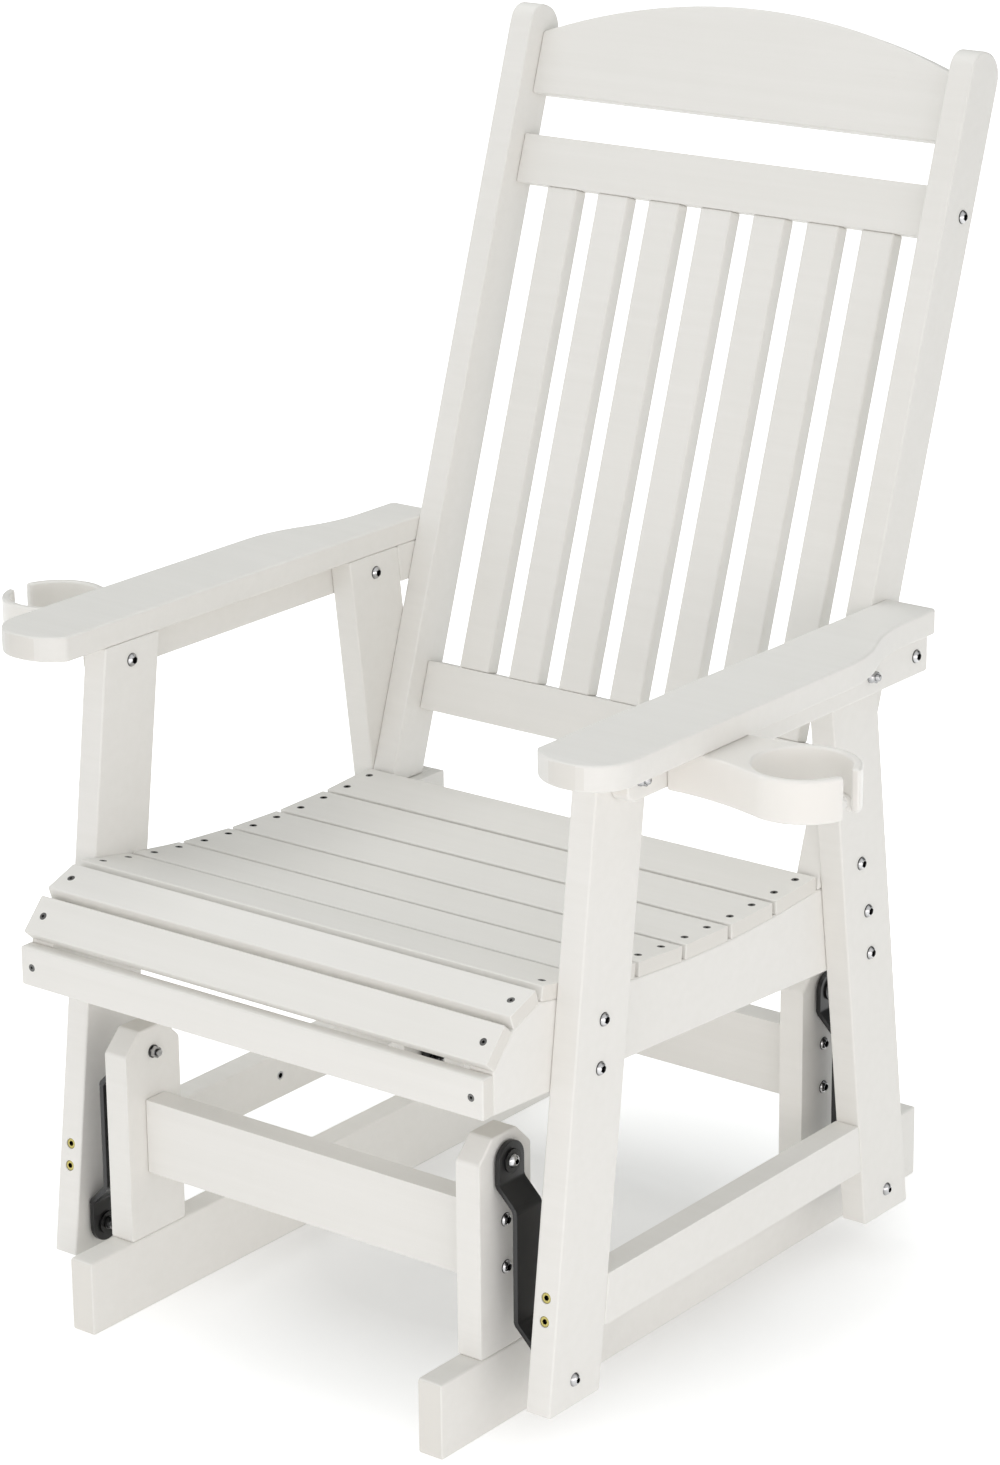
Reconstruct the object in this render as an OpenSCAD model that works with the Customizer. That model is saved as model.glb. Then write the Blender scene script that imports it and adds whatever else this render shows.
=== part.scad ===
// Glider chair: a slatted board chair that hangs from a trestle base on four swing arms.
// X runs across the chair, Y from front to back and Z up, in millimetres. The origin is on the
// floor, at the middle of the chair's outline seen from above.

/* [Boards] */
// Thickness of the frame boards
board_t = 26.5; // [23:0.5:30]
// Width of the wide frame boards: legs, posts and base stretchers
wide_w = 73.5; // [68:0.5:80]
// Width of the narrow frame boards: stiles, back rails and side stretchers
narrow_w = 48.5; // [44:0.5:54]

/* [Base] */
// Width of the base over the outer faces of its posts
base_w = 439.2; // [420:0.2:448]
// Length of each foot
foot_len = 764.4; // [720:0.2:820]
// Reach of the feet ahead of the front pivots
foot_front = 94.1; // [80:0.1:110]
// Height of the feet
foot_h = 73; // [64:0.5:80]
// Height of the top of the posts
post_top_z = 279.4; // [274:0.2:290]
// Chamfer on both top corners of a post
post_chamfer = 19.5; // [10:0.5:22]
// Height of the top of the base stretchers
base_rail_top_z = 210.8; // [190:0.2:216]
// Distance between the two bolts at each end of a base stretcher
base_bolt_pitch = 45.2; // [34:0.2:50]

/* [Swing arms] */
// Distance between the front and the rear pivots
pivot_span = 502; // [480:1:530]
// Height of the upper pivots
pivot_z = 255; // [248:0.5:260]
// Distance from the upper to the lower pivot of an arm
arm_len = 191.5; // [180:0.5:200]
// Width of the arm's strap
strap_w = 36; // [30:0.5:40]
// Thickness of the arm's strap
strap_t = 5; // [4:0.1:6]
// Angle of the strap in its two jogs, from the vertical
jog_angle = 45; // [40:1:50]
// Bend radius of the strap, at mid-thickness
bend_r = 7; // [5:0.5:8]
// Distance from the upper pivot down to the middle of the upper jog
upper_jog_drop = 29.5; // [28:0.5:36]
// Distance from the lower pivot up to the middle of the lower jog
lower_jog_rise = 36; // [33:0.5:42]

/* [Pivots] */
// Diameter of the pivot bolts
pivot_bolt_d = 6; // [5:0.5:10]
// Wall of the bush sleeve
bush_wall = 2; // [1.5:0.1:2.5]
// Diameter of the bush flange and of the thrust washer
flange_d = 22; // [19:0.5:23]
// Thickness of the bush flange between post and arm
post_flange_t = 2.3; // [1.5:0.1:4]
// Thickness of the bush flange between leg and arm
leg_flange_t = 2.65; // [1.5:0.05:4]
// Thickness of the thrust washer on the other face of the arm
washer_t = 2; // [1:0.1:2.5]
// Radial running clearance of a bolt in its bush
run_gap = 0.05; // [0.02:0.01:0.1]
// Clearance beside a bush flange or thrust washer
side_gap = 0.1; // [0.05:0.05:0.3]

/* [Seat frame] */
// Distance between the inner faces of the legs
seat_w = 535.5; // [530:0.5:560]
// Height of the cut under the legs
leg_bottom_z = 38.7; // [30:0.1:44]
// Lean of the legs, towards each other at the top
leg_lean = 7.35; // [6:0.05:8.5]
// Distance of the legs' centre lines inside their pivots
leg_set = 3; // [0:0.5:6]
// Height of the underside of the side stretchers
side_stretcher_z = 98; // [92:0.5:110]
// Distance between the two long bolts at each end of a side stretcher
brass_pitch = 21.6; // [18:0.2:24]
// Length of the long bolts inside the side stretcher
brass_embed = 35; // [30:1:45]
// Height of the underside of the side rails at their rear end
rail_rear_z = 301; // [296:0.5:306]
// Distance of the side rails' rear end behind the stile's foot
rail_tail = 20; // [14:0.5:24]
// Distance between the two bolts of a leg in its side rail
rail_bolt_pitch = 43.7; // [36:0.2:46]
// Height of the upper bolt of a front leg in its side rail
front_bolt_z = 388.5; // [384:0.5:391]
// Height of the upper bolt of a rear leg in its side rail
rear_bolt_z = 362; // [358:0.5:366]
// Thickness of the backing block behind a rear bolt pair
block_t = 11; // [8:0.5:14]

/* [Seat] */
// Thickness of the seat slats
slat_t = 14.4; // [12:0.2:17]
// Width of a wide seat slat
slat_w = 66; // [63:0.5:68]
// Width of a narrow seat slat
nose_slat_w = 38.3; // [35:0.1:40]
// Gap between wide seat slats
slat_gap = 5; // [3:0.5:7]
// Gap between the narrow slats, at the side rail
nose_gap = 2.5; // [2:0.5:5]
// Number of wide seat slats
slat_count = 6; // [6:1:6]
// Height of the top of the seat at its lowest
seat_low_z = 399.6; // [396:0.2:403]
// Radius of the hollow of the seat
seat_r = 1450; // [1300:10:1700]
// Distance of the seat's lowest line ahead of the rear pivots
seat_low_ahead = 212; // [206:1:218]
// Distance of the rear edge of the seat behind the seat's lowest line
seat_rear = 122; // [116:0.5:128]
// Slope of the upper narrow slat
upper_nose_tilt = 19.5; // [16:0.5:24]
// Slope of the lower narrow slat
lower_nose_tilt = 47; // [42:0.5:52]

/* [Back] */
// Recline of the back from the vertical
recline = 18.2; // [15:0.1:20]
// Length of the front edge of a stile
stile_len = 788.6; // [780:0.2:810]
// Distance from the stile's foot up to the lower back rail
lower_rail_up = 80.6; // [76:0.2:90]
// Distance from a stile's top down to the underside of the upper back rail
upper_rail_drop = 176.2; // [168:0.2:188]
// Distance from a stile's top down to the underside of the crest rail
crest_drop = 87.1; // [84:0.1:94]
// Height of the crest rail at its ends
crest_end_h = 61; // [56:0.5:66]
// Rise of the crest rail's arch above its ends
crest_rise = 43.6; // [30:0.2:50]
// Width of a back slat
back_slat_w = 36.2; // [32:0.2:40]
// Thickness of a back slat
back_slat_t = 17.3; // [15:0.1:20]
// Distance between the middles of two back slats
back_slat_pitch = 61.4; // [58:0.1:64]
// Number of back slats
back_slat_count = 7; // [7:1:7]
// Depth of the back slats' front faces behind the front faces of the back rails
back_slat_set = 1; // [0:0.5:4]

/* [Arms and cup holders] */
// Height of the top of the armrests
armrest_z = 646; // [636:0.2:650]
// Thickness of the armrests
armrest_t = 24; // [20:0.5:28]
// Width of an armrest
armrest_w = 85.5; // [82:0.5:92]
// Distance of the armrest's nose ahead of the front pivots
armrest_nose = 32.7; // [24:0.1:40]
// Distance of the armrest's rear end behind the rear pivots
armrest_tail = 23; // [16:1:28]
// Distance of the start of the armrest's waist ahead of the rear pivots
waist_ahead = 169; // [142:1:192]
// Length of the waist from its start to its end
waist_len = 136; // [132:1:170]
// Depth of the waist
waist_d = 30.5; // [24:0.5:33]
// Radius of the waist's two bends
waist_r = 160; // [120:5:170]
// Height of an arm rail
arm_rail_h = 37.6; // [32:0.2:40]
// Thickness of an arm rail
arm_rail_t = 19; // [16:0.5:24]
// Distance of the arm rail's front end behind the front pivots
arm_rail_front = 54; // [46:1:60]
// Bore of a cup holder
cup_d = 86; // [80:0.5:90]
// Wall of the cup holder's ring
cup_wall = 8; // [6:0.5:10]
// Height of a cup holder
cup_h = 39; // [36:0.5:42]
// Distance from the arm rail to the middle of the cup
cup_reach = 117; // [110:0.2:122]
// Distance of the middle of the cup behind the front pivots
cup_y = 143; // [136:1:160]
// Width of the slot for a cup's handle
cup_slot = 22; // [16:0.5:28]
// Width of the neck at the arm rail
neck_w = 67; // [60:0.5:76]
// Radius of the neck's hollow sides
neck_r = 300; // [200:10:400]
// Inward reach of the ledge that the cup stands on
ledge_w = 5; // [3:0.5:8]
// Thickness of the ledge
ledge_t = 4; // [3:0.5:6]

/* [Fasteners] */
// Diameter of the frame bolts
bolt_d = 6; // [5:0.5:8]
// Diameter of a bolt's domed head
bolt_head_d = 13; // [12:0.5:16]
// Height of a bolt's domed head
bolt_head_h = 4.5; // [3.5:0.5:6]
// Diameter of the slat screws
screw_d = 3.8; // [3.2:0.1:4.4]
// Diameter of a slat screw's head
screw_head_d = 7; // [6.4:0.1:8]
// Length of the slat screws
screw_len = 36; // [28:1:40]
// Radial clearance of a fastener in its hole
hole_gap = 0.2; // [0.1:0.05:0.3]

/* [Hidden] */

$fn = 48;

// Colours, as the chair shows them
board_colour = "gainsboro";
cup_colour = "white";
strap_colour = "dimgray";
bush_colour = "black";
steel_colour = "silver";
brass_colour = "darkgoldenrod";
screw_colour = "gray";

// Faces across the chair, on the right-hand side
post_x = base_w / 2;
post_in_x = post_x - board_t;
leg_x = seat_w / 2;
leg_out_x = leg_x + board_t;
side_in_x = leg_x - board_t;
arm_rail_out_x = leg_out_x + arm_rail_t;
upper_strap_x = post_x + side_gap + post_flange_t;
lower_strap_x = leg_x - side_gap - leg_flange_t - strap_t;
jog_shift = (lower_strap_x - upper_strap_x) / 2;

// Pivots
low_pivot_z = pivot_z - arm_len;
bush_d = pivot_bolt_d + 2 * run_gap + 2 * bush_wall;
bush_gap = 0.05;

// Side view of the legs: middle of the front leg (0) or the rear leg (1) at height z
leg_half = wide_w / 2 / cos(leg_lean);
function leg_mid(rear, z) =
    let (run = leg_set + (z - low_pivot_z) * tan(leg_lean))
    rear == 0 ? run : pivot_span - run;
armrest_under_z = armrest_z - armrest_t;
armrest_rear = pivot_span + armrest_tail;
arm_bolt_z = armrest_under_z - arm_rail_h / 2;
side_stretcher_mid_z = side_stretcher_z + narrow_w / 2;

// Line of the seat under its slats, in (y, z)
seat_low_y = pivot_span - seat_low_ahead;
slat_pitch = slat_w + slat_gap;
under_r = seat_r + slat_t;
hollow_z = seat_low_z + seat_r;
seat_rear_angle = asin(seat_rear / seat_r) - slat_w / 2 / seat_r * 180 / PI;
function slat_angle(k) = seat_rear_angle - (slat_count - 1 - k) * slat_pitch / seat_r * 180 / PI;
function under_point(angle, along) = [
    seat_low_y + under_r * sin(angle) + along * cos(angle),
    hollow_z - under_r * cos(angle) + along * sin(angle)
];
nose_step = nose_slat_w + nose_gap;
nose_0 = under_point(slat_angle(0), -slat_w / 2 - nose_gap / 2);
nose_1 = nose_0 - nose_step * [cos(upper_nose_tilt), sin(upper_nose_tilt)];
nose_2 = nose_1 - nose_step * [cos(lower_nose_tilt), sin(lower_nose_tilt)];
apron_bottom_z = nose_2[1] - nose_gap / 2 - nose_slat_w;

// Foot of the stiles, on the level rear end of the side rails
stile_gap = 1.5;
foot_line = under_point(slat_angle(slat_count - 1), slat_w / 2);
stile_z = foot_line[1];
stile_y = foot_line[0] + stile_gap;
rail_end_y = stile_y + narrow_w / cos(recline) + rail_tail;

// Back, measured in the plane of the stiles
back_set = narrow_w - board_t;
rail_mid_depth = back_set + board_t / 2;
upper_rail_up = stile_len - upper_rail_drop;
crest_up = stile_len - crest_drop;
upper_bolt_set = 8;
upper_bolt_depth = back_set + upper_bolt_set;
upper_bolt_up = upper_rail_up + narrow_w / 2;
slat_depth = back_set + back_slat_set;
crest_top_up = crest_up + crest_end_h + crest_rise;
crest_r = (side_in_x * side_in_x + crest_rise * crest_rise) / (2 * crest_rise);
stile_front_r = 19;
stile_rear_r = 25;
function stile_front_y(z) = stile_y + (z - stile_z) * tan(recline);

// Middle of the chair's outline from front to back
apron_front_y = nose_2[0] - slat_t;
crest_rear_y = stile_y + crest_top_up * sin(recline) + narrow_w * cos(recline);
mid_y = (min(-foot_front, apron_front_y) + max(foot_len - foot_front, crest_rear_y)) / 2;

// Bolt centres in side view, as (y, z)
front_rail_bolts = [
    for (z = [front_bolt_z, front_bolt_z - rail_bolt_pitch]) [leg_mid(0, z), z]
];
rear_rail_bolts = [
    for (z = [rear_bolt_z, rear_bolt_z - rail_bolt_pitch]) [leg_mid(1, z), z]
];
stile_bolt_up = 32;
stile_bolt = [
    stile_y + stile_bolt_up * sin(recline) + narrow_w / 2 * cos(recline),
    stile_z + stile_bolt_up * cos(recline) - narrow_w / 2 * sin(recline)
];
front_arm_bolt = [leg_mid(0, arm_bolt_z), arm_bolt_z];
rear_arm_bolt = [leg_mid(1, arm_bolt_z), arm_bolt_z];
end_arm_bolt = [(stile_front_y(arm_bolt_z) + armrest_rear) / 2, arm_bolt_z];

// Fastener details
nut_af = 10;
nut_h = 5;
nut_washer_d = 12.5;
nut_washer_t = 1.2;
thread_gap = 0.1;
thread_end = 3;
socket_d = 5.5;
socket_depth = 2.4;
insert_d = 10;
insert_len = 20;
base_embed = 32;
stile_embed = 22;
brass_head_d = 10;
brass_head_h = 2;
brass_sink = 0.8;
brass_head_z = brass_embed + wide_w - brass_sink;
middle_insert_d = 8.5;
middle_insert_len = 12;
middle_back = 14;
middle_y = pivot_span / 2 + middle_back;
middle_bore_d = 5.5;
foot_screw_d = 6;
foot_screw_head_d = 12;
foot_screw_embed = 60;
foot_screw_pitch = 40;
slat_screw_edge = 16;
slat_screw_pitch = 34.7;
screw_head_h = 2.6;
end_screw_d = 5;
end_screw_head_d = 9.5;
end_screw_head_h = 3.2;
end_screw_embed = 30;
arm_screw_embed = 16;
cup_screw_pitch = 38;
dowel_d = 10;
dowel_half = 18;
dowel_pitch = 22;
end_gap = 0.5;
round_steps = 8;
neck_steps = 12;
ring_steps = 48;
far = 400;

// Unit vector along v
function unit(v) = v / norm(v);

// Arc of radius r that rounds corner p between neighbours a and b
function corner_arc(a, p, b, r) =
    let (
        u = unit(a - p),
        v = unit(b - p),
        half = acos(u * v) / 2,
        centre = p + unit(u + v) * r / sin(half),
        from = p + u * r / tan(half) - centre,
        to = p + v * r / tan(half) - centre,
        turn = 180 - 2 * half
    )
    [
        for (i = [0:round_steps])
            let (t = turn * i / round_steps)
            centre + (from * sin(turn - t) + to * sin(t)) / sin(turn)
    ];

// Points of an arc between two angles
function arc(centre, r, from, to, steps) = [
    for (i = [0:steps])
        let (angle = from + (to - from) * i / steps)
        centre + r * [cos(angle), sin(angle)]
];

// Outline through corners [x, y, r], each rounded with its radius r, or sharp where r is 0
function rounded(corners) = [
    for (i = [0:len(corners) - 1])
        let (
            n = len(corners),
            p = corners[i],
            a = corners[(i + n - 1) % n],
            b = corners[(i + 1) % n]
        )
        each (
            p[2] == 0
                ? [[p[0], p[1]]]
                : corner_arc([a[0], a[1]], [p[0], p[1]], [b[0], b[1]], p[2])
        )
];

// Places the chair's front pivots in the frame whose origin is under the middle of the chair
module chair() {
    translate([0, -mid_y, 0]) children();
}

// Keeps a right-hand piece on the right, or mirrors it to the left
module on_side(side) {
    mirror([side < 0 ? 1 : 0, 0, 0]) children();
}

module both_sides() {
    for (side = [-1, 1]) on_side(side) children();
}

// Board whose outline lies in the side view, from x outwards
module side_board(x, t) {
    translate([x, 0, 0]) rotate([90, 0, 90]) linear_extrude(t) children();
}

// Frame of the back: z up along the stiles' front edges, y into their depth
module in_back() {
    translate([0, stile_y, stile_z]) rotate([-recline, 0, 0]) children();
}

// Places a fastener whose head faces outwards across the chair
module facing_out(x, yz) {
    translate([x, yz[0], yz[1]]) rotate([0, 90, 0]) children();
}

module facing_in(x, yz) {
    translate([x, yz[0], yz[1]]) rotate([0, -90, 0]) children();
}

// Holes across the chair at (y, z) points
module cross_holes(points, d) {
    for (p = points)
        translate([0, p[0], p[1]]) rotate([0, 90, 0]) cylinder(d = d + 2 * hole_gap, h = far);
}

// Domed head with a hexagon socket, standing on z = 0
module domed_head(d, h) {
    ball_r = (d * d / 4 + h * h) / (2 * h);
    difference() {
        intersection() {
            translate([0, 0, h - ball_r]) sphere(r = ball_r);
            cylinder(d = d, h = h);
        }
        translate([0, 0, h - socket_depth]) cylinder(d = socket_d, h = socket_depth + 1, $fn = 6);
    }
}

// Bolt with its head on z = 0 and its shank down
module bolt(d, length) {
    domed_head(bolt_head_d, bolt_head_h);
    translate([0, 0, -length]) cylinder(d = d, h = length + bolt_head_h - socket_depth);
}

// Hexagon nut and its washer, whose upper face is on z = 0
module nut_and_washer(d) {
    difference() {
        union() {
            translate([0, 0, -nut_washer_t]) cylinder(d = nut_washer_d, h = nut_washer_t);
            translate([0, 0, -nut_washer_t - nut_h])
                cylinder(d = nut_af / cos(30), h = nut_h, $fn = 6);
        }
        translate([0, 0, -far / 2]) cylinder(d = d + 2 * thread_gap, h = far);
    }
}

// Bolt with a nut on the far side of the boards that it clamps
module bolt_and_nut(d, grip) {
    bolt(d, grip + nut_washer_t + nut_h + thread_end);
    translate([0, 0, -grip]) nut_and_washer(d);
}

// Screw with a flat head sunk flush with z = 0, or the hole for it when gap is given
module flat_screw(d, length, head_d, head_h, gap = 0) {
    translate([0, 0, -head_h]) cylinder(d1 = d + 2 * gap, d2 = head_d + 2 * gap, h = head_h);
    translate([0, 0, -length - gap]) cylinder(d = d + 2 * gap, h = length + gap - head_h / 2);
    if (gap > 0) cylinder(d = head_d + 2 * gap, h = 1);
}

// Threaded sleeve from z = 0 down
module insert(outer_d, bore_d, length) {
    translate([0, 0, -length])
        difference() {
            cylinder(d = outer_d, h = length);
            translate([0, 0, -1]) cylinder(d = bore_d, h = length + 2);
        }
}

// Bolt with its head at x, into a threaded sleeve that is let into the face at seat_x
module sleeved_bolt(x, yz, seat_x, embed) {
    facing_out(x, yz) bolt(bolt_d, x - seat_x + embed);
    facing_out(seat_x, yz) insert(insert_d, bolt_d + 2 * thread_gap, insert_len);
}

// Blind holes for such bolts and their sleeves
module sleeve_holes(points, seat_x, embed) {
    translate([seat_x - embed - end_gap, 0, 0]) cross_holes(points, bolt_d);
    translate([seat_x - insert_len, 0, 0]) cross_holes(points, insert_d);
}

// Base

module foot(side) {
    color(board_colour)
        chair()
            on_side(side)
                difference() {
                    translate([post_in_x, -foot_front, 0]) cube([board_t, foot_len, foot_h]);
                    foot_screws(hole_gap);
                }
}

// Long screws that rise through a foot into its two posts
module foot_screws(gap = 0) {
    for (y = [0, pivot_span], offset = [-0.5, 0.5])
        translate([post_x - board_t / 2, y + offset * foot_screw_pitch, 0])
            rotate([180, 0, 0])
                flat_screw(
                    foot_screw_d, foot_h + foot_screw_embed, foot_screw_head_d,
                    foot_screw_d / 2, gap
                );
}

// Bolt centres of a base stretcher, as heights
base_rail_mid_z = base_rail_top_z - wide_w / 2;
base_bolt_z = [for (s = [-0.5, 0.5]) base_rail_mid_z + s * base_bolt_pitch];

module post(side, y) {
    outline = [
        [y - wide_w / 2, foot_h],
        [y + wide_w / 2, foot_h],
        [y + wide_w / 2, post_top_z - post_chamfer],
        [y + wide_w / 2 - post_chamfer, post_top_z],
        [y - wide_w / 2 + post_chamfer, post_top_z],
        [y - wide_w / 2, post_top_z - post_chamfer]
    ];
    color(board_colour)
        chair()
            on_side(side)
                difference() {
                    side_board(post_in_x, board_t) polygon(outline);
                    cross_holes([[y, pivot_z]], pivot_bolt_d);
                    cross_holes([for (z = base_bolt_z) [y, z]], bolt_d);
                    foot_screws(hole_gap);
                }
}

module base_stretcher(y) {
    color(board_colour)
        chair()
            difference() {
                translate([-post_in_x, y - board_t / 2, base_rail_top_z - wide_w])
                    cube([2 * post_in_x, board_t, wide_w]);
                both_sides()
                    sleeve_holes([for (z = base_bolt_z) [y, z]], post_in_x, base_embed);
            }
}

// Bolts through the posts into threaded sleeves in the base stretchers, and the foot screws
module base_bolts() {
    color(steel_colour)
        chair()
            both_sides() {
                for (y = [0, pivot_span], z = base_bolt_z)
                    sleeved_bolt(post_x, [y, z], post_in_x, base_embed);
                foot_screws();
            }
}

module upper_pivot_bolts() {
    head_x = upper_strap_x + strap_t + washer_t + side_gap;
    color(steel_colour)
        chair()
            both_sides()
                for (y = [0, pivot_span])
                    facing_out(head_x, [y, pivot_z])
                        bolt_and_nut(pivot_bolt_d, head_x - post_in_x);
}

// Swing arms

// Corners of one side of the bent strap, from the top down, at half its thickness from the middle.
// Each jog has a bend at its top and one at its bottom, which turn opposite ways.
function strap_side(hand) =
    let (
        half = hand * strap_t / 2,
        mitre = half * tan(jog_angle / 2),
        jog_h = jog_shift / tan(jog_angle),
        middle = upper_strap_x + strap_t / 2 + half
    )
    concat(
        [[middle, pivot_z + strap_w / 2, 0]],
        [
            for (i = [0, 1])
                let (
                    jog_z = i == 0 ? pivot_z - upper_jog_drop : low_pivot_z + lower_jog_rise,
                    x = middle + i * jog_shift
                )
                each [
                    [x, jog_z + jog_h / 2 + mitre, bend_r - half],
                    [x + jog_shift, jog_z - jog_h / 2 + mitre, bend_r + half]
                ]
        ],
        [[middle + 2 * jog_shift, low_pivot_z - strap_w / 2, 0]]
    );

function reversed(list) = [for (i = [len(list) - 1:-1:0]) list[i]];

strap_outline = concat(strap_side(1), reversed(strap_side(-1)));

module swing_arm(side, y) {
    color(strap_colour)
        chair()
            on_side(side)
                difference() {
                    intersection() {
                        translate([0, y + strap_w / 2, 0])
                            rotate([90, 0, 0])
                                linear_extrude(strap_w) polygon(rounded(strap_outline));
                        side_board(post_x, far) {
                            for (z = [low_pivot_z, pivot_z])
                                translate([y, z]) circle(d = strap_w);
                            translate([y - strap_w / 2, low_pivot_z]) square([strap_w, arm_len]);
                        }
                    }
                    for (z = [low_pivot_z, pivot_z])
                        translate([post_x, y, z])
                            rotate([0, 90, 0])
                                cylinder(d = bush_d + 2 * bush_gap, h = far);
                }
}

// Flanged bush through the strap and the thrust washer on the strap's other face
module bush_set(flange_t) {
    bore = pivot_bolt_d + 2 * run_gap;
    difference() {
        union() {
            cylinder(d = flange_d, h = flange_t);
            translate([0, 0, -strap_t]) cylinder(d = bush_d, h = strap_t + flange_t);
        }
        translate([0, 0, -far / 2]) cylinder(d = bore, h = far);
    }
    translate([0, 0, -strap_t - washer_t])
        difference() {
            cylinder(d = flange_d, h = washer_t);
            translate([0, 0, -1]) cylinder(d = bore, h = washer_t + 2);
        }
}

module bushes(side, y) {
    color(bush_colour)
        chair()
            on_side(side) {
                facing_in(upper_strap_x, [y, pivot_z]) bush_set(post_flange_t);
                facing_out(lower_strap_x + strap_t, [y, low_pivot_z]) bush_set(leg_flange_t);
            }
}

// Seat frame

// Places a long bolt's axis: z = 0 at its end in the side stretcher, z up to its head
module brass_axis(rear, offset) {
    z = side_stretcher_mid_z + offset * brass_pitch;
    away = leg_half + brass_embed / cos(leg_lean);
    y = rear == 0 ? leg_mid(0, z) + away : leg_mid(1, z) - away;
    tilt = rear == 0 ? 90 - leg_lean : leg_lean - 90;
    translate([leg_x + board_t / 2, y, z]) rotate([tilt, 0, 0]) children();
}

// Long bolt, whose flat head lies a little below the leg's face
module brass_bolt(gap = 0) {
    translate([0, 0, brass_head_z])
        flat_screw(bolt_d, brass_head_z, brass_head_d, brass_head_h, gap);
}

module brass_holes(rear) {
    for (offset = [-0.5, 0.5])
        brass_axis(rear, offset) {
            brass_bolt(hole_gap);
            translate([0, 0, brass_embed - insert_len])
                cylinder(d = insert_d + 2 * hole_gap, h = insert_len);
        }
}

module leg(side, rear) {
    bottom = leg_mid(rear, leg_bottom_z);
    top = leg_mid(rear, armrest_under_z);
    outline = [
        [bottom - leg_half, leg_bottom_z],
        [bottom + leg_half, leg_bottom_z],
        [top + leg_half, armrest_under_z],
        [top - leg_half, armrest_under_z]
    ];
    color(board_colour)
        chair()
            on_side(side)
                difference() {
                    side_board(leg_x, board_t) polygon(outline);
                    cross_holes([[rear * pivot_span, low_pivot_z]], pivot_bolt_d);
                    if (rear == 0) cross_holes(concat(front_rail_bolts, [front_arm_bolt]), bolt_d);
                    if (rear == 1)
                        cross_holes(concat(rear_rail_bolts, [stile_bolt, rear_arm_bolt]), bolt_d);
                    for (offset = [-0.5, 0.5]) brass_axis(rear, offset) brass_bolt(hole_gap);
                }
}

module side_stretcher(side) {
    low = side_stretcher_z;
    high = side_stretcher_z + narrow_w;
    outline = [
        [leg_mid(0, low) + leg_half, low],
        [leg_mid(1, low) - leg_half, low],
        [leg_mid(1, high) - leg_half, high],
        [leg_mid(0, high) + leg_half, high]
    ];
    color(board_colour)
        chair()
            on_side(side)
                difference() {
                    side_board(leg_x, board_t) polygon(outline);
                    for (rear = [0, 1]) brass_holes(rear);
                    translate([leg_x + middle_insert_len - far, 0, 0])
                        cross_holes([[middle_y, side_stretcher_mid_z]], middle_insert_d);
                }
}

// Side rail: seat line on top, with one flat for each slat, and a straight sloping underside
module side_rail(side) {
    seat_line = [
        for (k = [0:slat_count - 1], end = [-0.5, 0.5]) under_point(slat_angle(k), end * slat_w)
    ];
    outline = concat(
        [[nose_2[0], apron_bottom_z], nose_2, nose_1, nose_0],
        seat_line,
        [[rail_end_y, stile_z], [rail_end_y, rail_rear_z]]
    );
    color(board_colour)
        chair()
            on_side(side)
                difference() {
                    side_board(side_in_x, board_t) polygon(outline);
                    cross_holes(concat(front_rail_bolts, rear_rail_bolts), bolt_d);
                    seat_screws(hole_gap);
                }
}

module backing_blocks() {
    z = rail_rear_z + end_gap;
    depth = rail_end_y - stile_y;
    color(board_colour)
        chair()
            both_sides()
                difference() {
                    translate([side_in_x - block_t, stile_y, z + narrow_w / 4])
                        cube([block_t, depth, stile_z - z - narrow_w / 4]);
                    cross_holes(rear_rail_bolts, bolt_d);
                }
}

// Seat

// Frame of seat slat k: z = 0 on its underside, y = 0 at its middle
module at_slat(k) {
    translate([0, seat_low_y, hollow_z])
        rotate([slat_angle(k), 0, 0])
            translate([0, 0, -under_r])
                children();
}

// Frame of a narrow slat that runs forward and down from point p at a slope
module at_nose(p, tilt) {
    translate([0, p[0], p[1]])
        rotate([tilt, 0, 0])
            translate([0, -nose_gap / 2 - nose_slat_w / 2, 0])
                children();
}

module slat_screw(gap) {
    flat_screw(screw_d, screw_len, screw_head_d, screw_head_h, gap);
}

// Screws of the right-hand ends of all the seat slats
module seat_screws(gap = 0) {
    for (k = [0:slat_count - 1], i = [0, 1])
        at_slat(k)
            translate([
                side_in_x + board_t / 2, i * slat_screw_pitch + slat_screw_edge - slat_w / 2, slat_t
            ])
                slat_screw(gap);
    for (i = [0:2])
        at_nose([nose_0, nose_1, nose_2][i], [upper_nose_tilt, lower_nose_tilt, 90][i])
            translate([side_in_x + board_t / 2, 0, slat_t]) slat_screw(gap);
}

module slat_board(width) {
    translate([-leg_x, -width / 2, 0]) cube([2 * leg_x, width, slat_t]);
}

module seat_slat(k) {
    color(board_colour)
        chair()
            difference() {
                at_slat(k) slat_board(slat_w);
                both_sides() seat_screws(hole_gap);
            }
}

module nose_slat(p, tilt) {
    color(board_colour)
        chair()
            difference() {
                at_nose(p, tilt) slat_board(nose_slat_w);
                both_sides() seat_screws(hole_gap);
            }
}

module slat_screws() {
    color(screw_colour) chair() both_sides() seat_screws();
}

// Back

// Dowels across the joint of a back rail's end in its stile, centred at a height
module rail_dowels(up, gap = 0) {
    length = 2 * dowel_half + (gap > 0 ? end_gap : 0);
    for (offset = [-0.5, 0.5])
        translate([side_in_x - length / 2, rail_mid_depth, up + offset * dowel_pitch])
            rotate([0, 90, 0])
                cylinder(d = dowel_d + 2 * gap, h = length);
}

// Dowels of the crest rail and of the lower back rail, at one side
module back_dowels(gap = 0) {
    rail_dowels(crest_up + crest_end_h / 2, gap);
    rail_dowels(lower_rail_up + narrow_w / 2, gap);
}

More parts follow.
